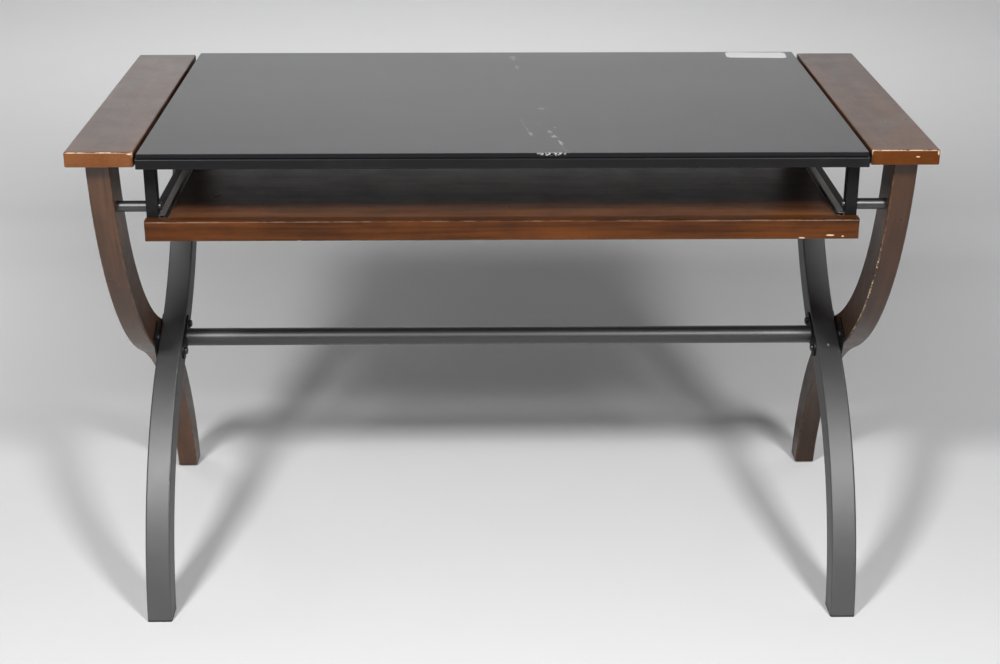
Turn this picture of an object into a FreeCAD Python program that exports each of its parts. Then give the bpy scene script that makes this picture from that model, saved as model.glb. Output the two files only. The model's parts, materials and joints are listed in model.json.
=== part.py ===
"""Computer desk with crossed, curved legs and a pull-out keyboard tray.

X runs across the desk, Y from front to back, Z up.  The origin is on the floor under the
desk's centre.  Everything is in millimetres.  Pieces that come in handed pairs are built for
the right-hand side (+X) and mirrored for the left.
"""
import FreeCAD, Part

import collections
import math
import os

Vector = FreeCAD.Vector
RIGHT = Vector(1, 0, 0)
BACK = Vector(0, 1, 0)
UP = Vector(0, 0, 1)
Leg = collections.namedtuple("Leg", "bend lean foot foot_depth bend_depth top top_depth")

# Overall sizes
desk_width = 1219.0
desk_height = 762.0
desk_depth = 635.0

# Top: a thin black panel on a steel frame, with a wooden panel at each end
top_panel_thickness = 6.0
top_panel_inset = 1.5
top_panel_edge_radius = 1.2
pad_radius = 9.0
pad_thickness = 1.0
pad_end_distance = 70.0
end_panel_width = 96.0
end_panel_depth = 610.0
end_panel_thickness = 22.0
end_panel_gap = 4.8
end_panel_top_radius = 3.0
end_panel_bottom_radius = 1.5
frame_rail_width = 25.0
frame_rail_wall = 1.5
frame_corner_radius = 2.5
cross_bar_place = 170.0

# Flat plates under the top that join the end panels to the frame
join_plate_length = 60.0
join_plate_width = 30.0
join_plate_thickness = 3.0
join_plate_spacing = 160.0
join_screw_margin = 8.0
join_screw_radius = 2.0
join_screw_length = 15.0
join_screw_head_radius = 4.0
join_screw_head_height = 2.2

# Legs, seen from the side: each edge is two arcs that meet where the curve turns over
leg_frame_gap = 4.6
metal_leg_width = 38.1
metal_leg_depth = 44.0
metal_leg_wall = 2.0
metal_leg_corner_radius = 3.0
metal_bend_y = -6.0
metal_bend_height = 347.0
metal_bend_lean = 66.5
metal_foot_setback = 58.5
metal_top_setback = 39.5
metal_top_plate_thickness = 3.0
metal_top_plate_width = 60.0
metal_top_plate_front = 63.0
metal_top_plate_back = 25.0
wood_leg_width = 34.0
wood_leg_foot_depth = 42.0
wood_leg_bend_depth = 54.0
wood_leg_top_depth = 65.0
wood_leg_edge_radius = 3.0
wood_bend_y = 18.0
wood_bend_height = 363.0
wood_bend_lean = -63.5
wood_foot_setback = 25.5
wood_top_setback = 72.5
foot_thickness = 3.0
foot_plug_depth = 18.0
foot_glide_radius = 12.0
glide_nail_radius = 1.5
glide_nail_length = 15.0

# Wooden leg to end panel: two dowels and a cam lock with its bolt
dowel_radius = 4.0
leg_dowel_spacing = 36.0
leg_dowel_in_leg = 22.0
leg_dowel_in_panel = 15.0
cam_radius = 7.5
cam_thickness = 12.5
cam_below_top = 34.0
cam_slot_width = 2.0
cam_slot_depth = 1.5
cam_bolt_radius = 3.0
cam_bolt_in_panel = 12.0

# Crossing of the legs
cross_plate_thickness = 2.0
cross_plate_front = 32.0
cross_plate_back = 62.0
cross_plate_half_height = 19.0
cross_tab_back = 13.0
cross_tab_height = 52.0
tab_screw_along = -9.5
tab_screw_up = 37.0
tab_screw_radius = 2.5
tab_screw_length = 24.0
tab_screw_head_radius = 4.5
tab_screw_head_height = 3.5
cross_bolt_spacing = 40.0
cross_bolt_radius = 4.0
cross_bolt_head_radius = 8.5
cross_bolt_head_height = 4.5
large_nut_flat = 13.0
large_nut_height = 6.5

# Stretcher between the metal legs
stretcher_radius = 14.3
stretcher_wall = 1.5
stretcher_along = 20.5
stretcher_up = 6.5
flange_thickness = 3.0
flange_radius = 14.3
flange_bolt_spacing = 62.0
small_bolt_radius = 3.0
small_bolt_head_radius = 6.0
small_bolt_head_height = 4.5
small_bolt_socket_radius = 2.3
small_bolt_socket_depth = 2.5
small_nut_flat = 10.0
small_nut_height = 5.0
bolt_end_length = 4.0

# Tray carrier: square hangers and rails, round ties to the legs
hanger_size = 17.5
hanger_outset = 2.6
hanger_wall = 1.5
hanger_corner_radius = 1.5
hanger_plug_thickness = 2.0
hanger_plug_depth = 12.0
tie_radius = 8.0
tie_wall = 1.5
tie_drop = 76.0
tie_ahead_of_leg = 11.2
insert_radius = 5.0
insert_length = 15.0
tie_bolt_in_leg = 18.0
bumper_radius = 5.0
bumper_length = 5.0
bumper_stem_radius = 2.0
bumper_stem_length = 3.5

# Tray and its ball-bearing slides
tray_drop = 89.0
tray_front_height = 30.0
tray_front_thickness = 20.0
tray_front_edge_radius = 3.0
tray_lip = 3.0
tray_board_thickness = 18.0
tray_board_depth = 380.0
tray_board_edge_radius = 1.0
tray_dowel_spacing = 280.0
tray_dowel_in_front = 13.0
tray_dowel_in_board = 22.0
tray_travel = 280.0
slide_below_tray_top = 15.0
slide_length = 400.0
slide_inner_length = 380.0
slide_inner_setback = 2.0
slide_height = 35.0
slide_thickness = 12.7
slide_gauge = 1.2
slide_flange = 9.0
ball_radius = 1.95
ball_seat_height = 4.0
ball_count = 4
cage_gauge = 0.8
cage_web_behind_balls = 4.35
cage_width = 7.5
cage_end_margin = 1.0
slide_screw_radius = 2.0
slide_screw_head_radius = 3.5
slide_screw_head_height = 1.8
slide_screw_in_rail = 6.0
slide_screw_in_board = 14.0
slide_screw_end_distance = 50.0

# Clearances
fit_clearance = 0.05
loose_clearance = 0.5
bolt_clearance = 0.3

# Places that follow from the sizes above
end_panel_outer_x = desk_width / 2
end_panel_inner_x = end_panel_outer_x - end_panel_width
frame_half_width = end_panel_inner_x - end_panel_gap
frame_half_depth = desk_depth / 2
frame_bottom = desk_height - end_panel_thickness
frame_top = desk_height - top_panel_thickness - pad_thickness
metal_inner_x = frame_half_width + leg_frame_gap
metal_outer_x = metal_inner_x + metal_leg_width
wood_inner_x = metal_outer_x + cross_plate_thickness
wood_outer_x = wood_inner_x + wood_leg_width
wood_middle_x = (wood_inner_x + wood_outer_x) / 2
metal_top = frame_bottom - metal_top_plate_thickness
tie_height = frame_bottom - tie_drop
hanger_outer_x = frame_half_width + hanger_outset
hanger_inner_x = hanger_outer_x - hanger_size
hanger_middle_x = (hanger_inner_x + hanger_outer_x) / 2
tray_front_top = frame_bottom - tray_drop
tray_board_top = tray_front_top - tray_lip
slide_middle = tray_front_top - slide_below_tray_top
rail_bottom = slide_middle - hanger_size / 2
rail_top = rail_bottom + hanger_size
tray_half_width = hanger_inner_x - slide_thickness
ball_offset = slide_thickness / 2
cage_web_place = ball_offset - cage_web_behind_balls


def block(x_range, y_range, z_range):
    """Box between two values along each axis."""
    sizes = [high - low for low, high in (x_range, y_range, z_range)]
    return Part.makeBox(*sizes, Vector(x_range[0], y_range[0], z_range[0]))


def about(middle, size):
    """Pair of values, size apart, with middle halfway between them."""
    return (middle - size / 2, middle + size / 2)


def rod(start, direction, radius, length):
    """Round bar from a point along a direction."""
    return Part.makeCylinder(radius, length, start, direction)


def hexagon(start, direction_x, flat, height):
    """Hexagonal prism along X; direction_x is +1 or -1, flat is the size across flats."""
    corner = flat / math.sqrt(3)
    angles = [math.radians(60 * step) for step in range(7)]
    points = [start + Vector(0, corner * math.cos(a), corner * math.sin(a)) for a in angles]
    return Part.Face(Part.makePolygon(points)).extrude(Vector(direction_x * height, 0, 0))


def rounded(shape, radius, wanted):
    """Rounds the edges of a shape for which wanted(edge's box) is true."""
    edges = [edge for edge in shape.Edges if wanted(edge.BoundBox)]
    return shape.makeFillet(radius, edges)


def lies_along(axis):
    """Test for straight edges that run along one axis."""
    def test(box):
        lengths = {"x": box.XLength, "y": box.YLength, "z": box.ZLength}
        others = [length for name, length in lengths.items() if name != axis]
        return lengths[axis] > 1 and max(others) < 0.01
    return test


def box_tube(x_range, y_range, z_range, axis, wall, corner_radius):
    """Rectangular tube, open at both ends, that runs along one axis."""
    outer = rounded(block(x_range, y_range, z_range), corner_radius, lies_along(axis))
    ranges = {"x": x_range, "y": y_range, "z": z_range}
    inner = [limits if name == axis else (limits[0] + wall, limits[1] - wall)
             for name, limits in ranges.items()]
    return outer.cut(block(*inner))


def mirrored(shape):
    """The same piece for the other side of the desk."""
    return shape.mirror(Vector(0, 0, 0), Vector(1, 0, 0))


def save(name, *shapes):
    """Writes one node: a single solid, or a group of separate solids."""
    solids = [solid for shape in shapes for solid in shape.Solids]
    node = solids[0] if len(solids) == 1 else Part.makeCompound(solids)
    node.exportStep("parts/" + name + ".step")


def save_pair(name, shape):
    """Writes the right-hand piece and its mirror image for the left."""
    save("right_" + name, shape)
    save("left_" + name, mirrored(shape))


def save_both_sides(name, shapes):
    """Writes one node that holds the pieces of both sides."""
    save(name, *shapes, *[mirrored(shape) for shape in shapes])


# Legs

def slope(lean):
    """Direction up a leg that leans back by an angle in degrees, in the side view."""
    return Vector(0, math.sin(math.radians(lean)), math.cos(math.radians(lean)))


def square_to(lean):
    """Direction square to that slope, on its upper side."""
    sign = -1 if lean > 0 else 1
    return Vector(0, sign * math.cos(math.radians(lean)), abs(math.sin(math.radians(lean))))


def arc_leaving(start, direction, end):
    """Arc that starts along a direction and ends at a point.

    Its middle lies off the chord's middle, on the side that the direction points to, by half
    the chord times the tangent of half the angle between direction and chord.
    """
    chord = end - start
    along = chord * (1 / chord.Length)
    aside = direction - along * direction.dot(along)
    turn = math.asin(min(1.0, aside.Length))
    rise = chord.Length / 2 * math.tan(turn / 2)
    middle = start + chord * 0.5 + aside * (rise / aside.Length)
    return Part.Arc(start, middle, end).toShape()


def end_half_depth(leg, end, depth):
    """Half the level width of a leg's end, where its centre line has turned past the chord."""
    chord_lean = math.degrees(math.atan2(end.y - leg.bend.y, end.z - leg.bend.z))
    return depth / 2 / math.cos(math.radians(2 * chord_lean - leg.lean))


def leg_solid(leg, x_range, inset):
    """Curved leg between two X values, thinned by inset on its front and back faces."""
    going_up = slope(leg.lean)
    going_down = going_up * -1
    edges = {}
    for side in (-1, 1):
        bend = leg.bend + square_to(leg.lean) * (side * (leg.bend_depth / 2 - inset))
        way = side if leg.lean < 0 else -side
        top = leg.top + Vector(0, way * (end_half_depth(leg, leg.top, leg.top_depth) - inset), 0)
        foot_half = end_half_depth(leg, leg.foot, leg.foot_depth) - inset
        foot = leg.foot + Vector(0, way * foot_half, 0)
        edges[side] = (foot, top, arc_leaving(bend, going_down, foot), arc_leaving(bend, going_up, top))
    lower_foot, lower_top, lower_down, lower_up = edges[-1]
    upper_foot, upper_top, upper_down, upper_up = edges[1]
    foot_edge = Part.LineSegment(lower_foot, upper_foot).toShape()
    top_edge = Part.LineSegment(lower_top, upper_top).toShape()
    outline = [foot_edge, upper_down, upper_up, top_edge, lower_up, lower_down]
    wire = Part.Wire(Part.__sortEdges__(outline))
    face = Part.Face(wire)
    face.translate(Vector(x_range[0], 0, 0))
    return face.extrude(Vector(x_range[1] - x_range[0], 0, 0))


def long_edge(box):
    """Test for the long curved edges of a leg, not those of its cut ends."""
    return box.ZLength > 100


def y_range_at(shape, height):
    """Lowest and highest Y of a shape at one height."""
    box = Part.makeCompound(shape.slice(Vector(0, 0, 1), height)).BoundBox
    return (box.YMin, box.YMax)


metal_leg = Leg(
    bend=Vector(0, metal_bend_y, metal_bend_height),
    lean=metal_bend_lean,
    foot=Vector(0, metal_foot_setback - frame_half_depth, foot_thickness),
    foot_depth=metal_leg_depth,
    bend_depth=metal_leg_depth,
    top=Vector(0, frame_half_depth - metal_top_setback, metal_top),
    top_depth=metal_leg_depth,
)
wood_leg = Leg(
    bend=Vector(0, wood_bend_y, wood_bend_height),
    lean=wood_bend_lean,
    foot=Vector(0, frame_half_depth - wood_foot_setback, foot_thickness),
    foot_depth=wood_leg_foot_depth,
    bend_depth=wood_leg_bend_depth,
    top=Vector(0, wood_top_setback - frame_half_depth, frame_bottom),
    top_depth=wood_leg_top_depth,
)
metal_body = leg_solid(metal_leg, (metal_inner_x, metal_outer_x), 0)
wood_body = leg_solid(wood_leg, (wood_inner_x, wood_outer_x), 0)


def crossing_height_difference(y):
    """How much higher the metal leg is than the wooden one at a Y near their bends."""
    metal_rise = (y - metal_leg.bend.y) / math.tan(math.radians(metal_leg.lean))
    wood_rise = (y - wood_leg.bend.y) / math.tan(math.radians(wood_leg.lean))
    return metal_leg.bend.z + metal_rise - wood_leg.bend.z - wood_rise


def crossing_point():
    """Point where the straight lines through the two bends meet, in the side view."""
    at_zero = crossing_height_difference(0)
    y = at_zero / (at_zero - crossing_height_difference(1))
    height = metal_leg.bend.z + (y - metal_leg.bend.y) / math.tan(math.radians(metal_leg.lean))
    return Vector(0, y, height)


def along_metal_leg(along, up):
    """Point a distance along and square to the metal leg from its bend."""
    return metal_leg.bend + slope(metal_leg.lean) * along + square_to(metal_leg.lean) * up


crossing = crossing_point()
cross_bolts = [crossing + Vector(0, side * cross_bolt_spacing / 2, 0) for side in (-1, 1)]
tab_screw = along_metal_leg(tab_screw_along, tab_screw_up)
stretcher = along_metal_leg(stretcher_along, stretcher_up)
flange_bolts = [along_metal_leg(stretcher_along + side * flange_bolt_spacing / 2, stretcher_up)
                for side in (-1, 1)]

# Places of the tray carrier that follow the legs
front_hanger_y = sum(y_range_at(wood_body, tie_height)) / 2 - tie_ahead_of_leg
rear_hanger_y = sum(y_range_at(metal_body, tie_height)) / 2
front_hanger_face = front_hanger_y - hanger_size / 2
tray_front_back = front_hanger_face - bumper_length
tray_front_face = tray_front_back - tray_front_thickness
slide_front = front_hanger_face + loose_clearance
slide_inner_front = slide_front + slide_inner_setback
cage_front = slide_front + cage_end_margin + tray_travel / 2
cage_length = slide_inner_length - tray_travel - 2 * cage_end_margin
slide_screw_places = [slide_front + slide_screw_end_distance,
                      slide_front + slide_length / 2,
                      slide_front + slide_length - slide_screw_end_distance]
tray_dowel_places = [tray_dowel_spacing * step for step in (-1.5, -0.5, 0.5, 1.5)]
tray_dowel_height = tray_board_top - tray_board_thickness / 2
leg_dowel_places = [wood_leg.top.y + side * leg_dowel_spacing / 2 for side in (-1, 1)]


def across(point, x):
    """The same place in the side view, at another X."""
    return Vector(x, point.y, point.z)


def hole_x(point, x_range, radius):
    """Cutter for a hole along X."""
    return rod(across(point, x_range[0]), RIGHT, radius, x_range[1] - x_range[0])


# Top

def top_panel():
    half_width = frame_half_width - top_panel_inset
    half_depth = frame_half_depth - top_panel_inset
    panel = block((-half_width, half_width), (-half_depth, half_depth),
                  (desk_height - top_panel_thickness, desk_height))
    return rounded(panel, top_panel_edge_radius, lambda box: box.ZMin > desk_height - 0.01)


def frame_rail(x_range, y_range, axis):
    return box_tube(x_range, y_range, (frame_bottom, frame_top), axis, frame_rail_wall,
                    frame_corner_radius)


def frame_cross_rail(x_range):
    """Rail that fits between the front and rear rails."""
    length = frame_half_depth - frame_rail_width
    return frame_rail(x_range, (-length, length), "y")


def frame_side_rail():
    rail = frame_cross_rail((frame_half_width - frame_rail_width, frame_half_width))
    for y in join_plate_places():
        for screw in join_screws(y):
            rail = rail.cut(rod(screw, UP, join_screw_radius + fit_clearance, join_screw_length))
    return rail


def pad_places():
    """Pads on the front and rear rails, evenly spaced between the end ones."""
    half_span = frame_half_width - pad_end_distance
    y = frame_half_depth - frame_rail_width / 2
    return [Vector(half_span * step, side * y, frame_top) for step in (-1, -1 / 3, 1 / 3, 1)
            for side in (-1, 1)]


def end_panel():
    panel = block((end_panel_inner_x, end_panel_outer_x), about(0, end_panel_depth),
                  (frame_bottom, desk_height))
    panel = rounded(panel, end_panel_top_radius,
                    lambda box: box.ZMin > desk_height - 0.01 or box.ZLength > 1)
    panel = rounded(panel, end_panel_bottom_radius, lambda box: box.ZMax < frame_bottom + 0.01)
    for y in join_plate_places():
        for screw in join_screws(y):
            panel = panel.cut(rod(screw, UP, join_screw_radius + fit_clearance,
                                  join_screw_length + fit_clearance))
    for screw in top_plate_screws():
        panel = panel.cut(rod(screw, UP, join_screw_radius + fit_clearance,
                              join_screw_length + fit_clearance))
    for y in leg_dowel_places:
        hole = rod(Vector(wood_middle_x, y, frame_bottom), UP, dowel_radius + fit_clearance,
                   leg_dowel_in_panel + loose_clearance)
        panel = panel.cut(hole)
    cam_hole = rod(Vector(wood_middle_x, wood_leg.top.y, frame_bottom), UP,
                   cam_bolt_radius + fit_clearance, cam_bolt_in_panel + fit_clearance)
    return panel.cut(cam_hole)


def join_plate_places():
    return [-join_plate_spacing, 0.0, join_plate_spacing]


def join_screws(y):
    """Undersides of the four screws of one plate: two in the frame, two in the panel."""
    z = frame_bottom - join_plate_thickness
    frame_x = frame_half_width - frame_rail_width / 2
    panel_x = frame_half_width + join_plate_length / 2 - join_screw_margin
    offset = join_plate_width / 2 - join_screw_margin
    return [Vector(x, y + side * offset, z) for x in (frame_x, panel_x) for side in (-1, 1)]


def join_plate(y):
    plate = block(about(frame_half_width, join_plate_length), about(y, join_plate_width),
                  (frame_bottom - join_plate_thickness, frame_bottom))
    plate = rounded(plate, join_plate_thickness, lies_along("z"))
    for screw in join_screws(y):
        plate = plate.cut(rod(screw, UP, join_screw_radius + fit_clearance, join_plate_thickness))
    return plate


def pan_screw(place):
    """Screw that points up, with a low domed head under its place."""
    shank = rod(place, UP, join_screw_radius, join_screw_length)
    head = rod(place - UP * join_screw_head_height, UP, join_screw_head_radius,
               join_screw_head_height)
    head = rounded(head, join_screw_head_height * 0.6,
                   lambda box: box.ZMax < place.z - join_screw_head_height + 0.01)
    return shank.fuse(head).removeSplitter()


# Metal legs

def metal_leg_piece():
    outer = rounded(metal_body, metal_leg_corner_radius, long_edge)
    bore_x = (metal_inner_x + metal_leg_wall, metal_outer_x - metal_leg_wall)
    tube = outer.cut(leg_solid(metal_leg, bore_x, metal_leg_wall))
    inner_wall = (metal_inner_x - 1, metal_inner_x + metal_leg_wall + 1)
    outer_wall = (metal_outer_x - metal_leg_wall - 1, metal_outer_x + 1)
    small_holes = flange_bolts + [Vector(0, rear_hanger_y, tie_height)]
    for place in small_holes:
        tube = tube.cut(hole_x(place, inner_wall, small_bolt_radius + bolt_clearance))
    for place in cross_bolts:
        tube = tube.cut(hole_x(place, outer_wall, cross_bolt_radius + bolt_clearance))
    return tube


def top_plate_screws():
    """Undersides of the screws that hold a metal leg's plate to the end panel."""
    z = frame_bottom - metal_top_plate_thickness
    y = metal_leg.top.y
    front = y - metal_top_plate_front + join_screw_margin
    half_depth = end_half_depth(metal_leg, metal_leg.top, metal_leg_depth)
    outer_x = metal_inner_x + metal_top_plate_width - join_screw_margin
    return [Vector(metal_inner_x + join_screw_margin, front, z), Vector(outer_x, front, z),
            Vector(outer_x, y - half_depth / 2, z), Vector(outer_x, y + half_depth / 2, z)]


def metal_top_plate():
    y = metal_leg.top.y
    plate = block((metal_inner_x, metal_inner_x + metal_top_plate_width),
                  (y - metal_top_plate_front, y + metal_top_plate_back),
                  (metal_top, frame_bottom))
    plate = rounded(plate, metal_top_plate_thickness, lies_along("z"))
    for screw in top_plate_screws():
        plate = plate.cut(rod(screw, UP, join_screw_radius + fit_clearance,
                              metal_top_plate_thickness))
    return plate


def metal_foot_plug():
    """Plastic foot: a flat sole under the tube and a stem up inside it."""
    half_depth = end_half_depth(metal_leg, metal_leg.foot, metal_leg_depth)
    sole = block((metal_inner_x, metal_outer_x), about(metal_leg.foot.y, 2 * half_depth),
                 (0, foot_thickness))
    sole = rounded(sole, foot_thickness, lies_along("z"))
    inset = metal_leg_wall + 2 * fit_clearance
    stem = leg_solid(metal_leg, (metal_inner_x + inset, metal_outer_x - inset), inset)
    limit = block((metal_inner_x, metal_outer_x), about(metal_leg.foot.y, 4 * metal_leg_depth),
                  (foot_thickness, foot_thickness + foot_plug_depth))
    return sole.fuse(stem.common(limit)).removeSplitter()


# Wooden legs

def wood_leg_piece():
    leg = rounded(wood_body, wood_leg_edge_radius, long_edge)
    for place in cross_bolts:
        leg = leg.cut(hole_x(place, (wood_inner_x, wood_outer_x), cross_bolt_radius + fit_clearance))
    leg = leg.cut(hole_x(tab_screw, (wood_inner_x, wood_inner_x + tab_screw_length),
                         tab_screw_radius + fit_clearance))
    tie = Vector(0, front_hanger_y, tie_height)
    leg = leg.cut(hole_x(tie, (wood_inner_x, wood_inner_x + insert_length),
                         insert_radius + fit_clearance))
    leg = leg.cut(hole_x(tie, (wood_inner_x, wood_inner_x + tie_bolt_in_leg + loose_clearance),
                         small_bolt_radius + fit_clearance))
    for y in leg_dowel_places:
        depth = leg_dowel_in_leg + loose_clearance
        leg = leg.cut(rod(Vector(wood_middle_x, y, frame_bottom - depth), UP,
                          dowel_radius + fit_clearance, depth))
    cam = cam_place()
    leg = leg.cut(hole_x(cam, (wood_outer_x - cam_thickness, wood_outer_x),
                         cam_radius + fit_clearance))
    leg = leg.cut(rod(Vector(wood_middle_x, cam.y, cam.z), UP, cam_bolt_radius + fit_clearance,
                      cam_below_top))
    nail = Vector(wood_middle_x, wood_leg.foot.y, foot_thickness)
    return leg.cut(rod(nail, UP, glide_nail_radius + fit_clearance, glide_nail_length))


def cam_place():
    return Vector(wood_middle_x, wood_leg.top.y, frame_bottom - cam_below_top)


def cam_lock():
    """Disc let into the leg's outer face, with a screwdriver cross and a hole for its bolt."""
    cam = cam_place()
    disc = hole_x(cam, (wood_outer_x - cam_thickness, wood_outer_x), cam_radius)
    slot_x = (wood_outer_x - cam_slot_depth, wood_outer_x + 1)
    for y_size, z_size in ((cam_slot_width, cam_radius), (cam_radius, cam_slot_width)):
        disc = disc.cut(block(slot_x, about(cam.y, y_size), about(cam.z, z_size)))
    bolt_way = rod(Vector(wood_middle_x, cam.y, cam.z), UP, cam_bolt_radius + fit_clearance,
                   cam_radius + 1)
    return disc.cut(bolt_way)


def cam_bolt():
    cam = cam_place()
    start = Vector(wood_middle_x, cam.y, cam.z + fit_clearance)
    return rod(start, UP, cam_bolt_radius, cam_below_top + cam_bolt_in_panel - fit_clearance)


def leg_dowel(y):
    start = Vector(wood_middle_x, y, frame_bottom - leg_dowel_in_leg)
    return rod(start, UP, dowel_radius, leg_dowel_in_leg + leg_dowel_in_panel)


def wood_foot_glide():
    place = Vector(wood_middle_x, wood_leg.foot.y, 0)
    disc = rod(place, UP, foot_glide_radius, foot_thickness)
    disc = rounded(disc, foot_thickness / 3, lambda box: box.ZMax < 0.01)
    nail = rod(place, UP, glide_nail_radius, foot_thickness + glide_nail_length - fit_clearance)
    return disc.fuse(nail).removeSplitter()


# Crossing

def plate_outline(points, x, thickness):
    """Flat plate from places given along and square to the metal leg, from its bend."""
    corners = [across(along_metal_leg(*point), x) for point in points]
    return Part.Face(Part.makePolygon(corners + corners[:1])).extrude(Vector(thickness, 0, 0))


def crossing_plate():
    """Plate welded to the metal leg, with a tab that reaches up the wooden leg's inner face."""
    half = cross_plate_half_height
    points = [(-cross_plate_front, -half), (cross_plate_back, -half), (cross_plate_back, half),
              (cross_tab_back, half), (cross_tab_back, cross_tab_height),
              (-cross_plate_front, cross_tab_height)]
    plate = plate_outline(points, metal_outer_x, cross_plate_thickness)
    for place in cross_bolts:
        plate = plate.cut(hole_x(place, (metal_outer_x, wood_inner_x),
                                 cross_bolt_radius + bolt_clearance))
    return plate.cut(hole_x(tab_screw, (metal_outer_x, wood_inner_x),
                            tab_screw_radius + fit_clearance))


def cross_bolt(place):
    """Carriage bolt: a low dome on the wooden leg's outer face, the shank through both legs."""
    end_x = metal_outer_x - metal_leg_wall - large_nut_height - bolt_end_length
    shank = hole_x(place, (end_x, wood_outer_x), cross_bolt_radius)
    head = hole_x(place, (wood_outer_x, wood_outer_x + cross_bolt_head_height),
                  cross_bolt_head_radius)
    rim = wood_outer_x + cross_bolt_head_height
    head = rounded(head, cross_bolt_head_height * 0.8, lambda box: box.XMin > rim - 0.01)
    return shank.fuse(head).removeSplitter()


def large_nut(place):
    x = metal_outer_x - metal_leg_wall
    nut = hexagon(across(place, x), -1, large_nut_flat, large_nut_height)
    return nut.cut(hole_x(place, (x - large_nut_height, x), cross_bolt_radius + fit_clearance))


def tab_screw_piece():
    head = hole_x(tab_screw, (metal_outer_x - tab_screw_head_height, metal_outer_x),
                  tab_screw_head_radius)
    rim = metal_outer_x - tab_screw_head_height
    head = rounded(head, tab_screw_head_height * 0.5, lambda box: box.XMax < rim + 0.01)
    length = cross_plate_thickness + tab_screw_length - fit_clearance
    return head.fuse(rod(across(tab_screw, metal_outer_x), RIGHT, tab_screw_radius, length))


# Stretcher

def tube_x(place, x_range, radius, wall):
    """Round tube along X."""
    return hole_x(place, x_range, radius).cut(hole_x(place, x_range, radius - wall))


def stretcher_tube():
    end_x = metal_inner_x - flange_thickness
    return tube_x(stretcher, (-end_x, end_x), stretcher_radius, stretcher_wall)


def stretcher_flange():
    """Flat plate with round ends along the metal leg's inner face."""
    x_range = (metal_inner_x - flange_thickness, metal_inner_x)
    half = flange_bolt_spacing / 2
    corners = [(stretcher_along + along, stretcher_up + up)
               for along, up in ((-half, -flange_radius), (half, -flange_radius),
                                 (half, flange_radius), (-half, flange_radius))]
    plate = plate_outline(corners, x_range[0], flange_thickness)
    for place in flange_bolts:
        plate = plate.fuse(hole_x(place, x_range, flange_radius))
    plate = plate.removeSplitter()
    for place in flange_bolts:
        plate = plate.cut(hole_x(place, x_range, small_bolt_radius + bolt_clearance))
    return plate


def small_bolt(place, head_x, end_x):
    """Round-headed bolt along +X, with a hexagonal socket in its head."""
    face = head_x - small_bolt_head_height
    head = hole_x(place, (face, head_x), small_bolt_head_radius)
    head = rounded(head, small_bolt_head_height * 0.45, lambda box: box.XMax < face + 0.01)
    flat = small_bolt_socket_radius * math.sqrt(3)
    head = head.cut(hexagon(across(place, face - 0.1), 1, flat, small_bolt_socket_depth + 0.1))
    return head.fuse(hole_x(place, (head_x, end_x), small_bolt_radius)).removeSplitter()


def small_nut(place):
    x = metal_inner_x + metal_leg_wall
    nut = hexagon(across(place, x), 1, small_nut_flat, small_nut_height)
    return nut.cut(hole_x(place, (x, x + small_nut_height), small_bolt_radius + fit_clearance))


# Tray carrier

def hanger(y, holes):
    """Square post under the frame's side rail; holes lists the places of its cross holes."""
    post = box_tube((hanger_inner_x, hanger_outer_x), about(y, hanger_size),
                    (rail_bottom, frame_bottom), "z", hanger_wall, hanger_corner_radius)
    for place in holes:
        post = post.cut(hole_x(place, (hanger_inner_x, hanger_outer_x),
                               small_bolt_radius + bolt_clearance))
    return post


def front_hanger():
    post = hanger(front_hanger_y, [Vector(0, front_hanger_y, tie_height)])
    stem = rod(Vector(hanger_middle_x, front_hanger_face, slide_middle), BACK,
               bumper_stem_radius + fit_clearance, hanger_wall + 1)
    return post.cut(stem)


def tray_rail():
    y_range = (front_hanger_y + hanger_size / 2, rear_hanger_y - hanger_size / 2)
    rail = box_tube((hanger_inner_x, hanger_outer_x), y_range, (rail_bottom, rail_top), "y",
                    hanger_wall, hanger_corner_radius)
    for y in slide_screw_places:
        rail = rail.cut(rod(Vector(hanger_inner_x, y, slide_middle), RIGHT,
                            slide_screw_radius + fit_clearance, hanger_wall + 1))
    return rail


def hanger_plug(y):
    """Plastic plug in the open lower end of a post."""
    sole = block((hanger_inner_x, hanger_outer_x), about(y, hanger_size),
                 (rail_bottom - hanger_plug_thickness, rail_bottom))
    sole = rounded(sole, hanger_corner_radius, lies_along("z"))
    inner = hanger_size - 2 * (hanger_wall + fit_clearance)
    stem = block(about(hanger_middle_x, inner), about(y, inner),
                 (rail_bottom, rail_bottom + hanger_plug_depth))
    if y == front_hanger_y:
        clear = bumper_stem_length + loose_clearance
        stem = stem.cut(block((hanger_inner_x, hanger_outer_x),
                              (front_hanger_face, front_hanger_face + clear),
                              (rail_bottom, rail_bottom + hanger_plug_depth)))
    return sole.fuse(stem).removeSplitter()


def tie_tube():
    return tube_x(Vector(0, front_hanger_y, tie_height), (hanger_outer_x, wood_inner_x),
                  tie_radius, tie_wall)


def leg_insert():
    place = Vector(0, front_hanger_y, tie_height)
    return tube_x(place, (wood_inner_x, wood_inner_x + insert_length), insert_radius,
                  insert_radius - small_bolt_radius - fit_clearance)


def rear_spacer():
    place = Vector(0, rear_hanger_y, tie_height)
    return tube_x(place, (hanger_outer_x, metal_inner_x), tie_radius,
                  tie_radius - small_bolt_radius - bolt_clearance)


def bumper():
    place = Vector(hanger_middle_x, front_hanger_face - bumper_length, slide_middle)
    body = rod(place, BACK, bumper_radius, bumper_length)
    return body.fuse(rod(place, BACK, bumper_stem_radius, bumper_length + bumper_stem_length))


# Slides: offsets run inwards from the tray rail's inner face, heights from the slide's middle

def slide_part(offset_range, y_range, height_range):
    """Block placed by its offset from the rail's face and its height from the slide's middle."""
    x_range = (hanger_inner_x - offset_range[1], hanger_inner_x - offset_range[0])
    z_range = (slide_middle + height_range[0], slide_middle + height_range[1])
    return block(x_range, y_range, z_range)


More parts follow.
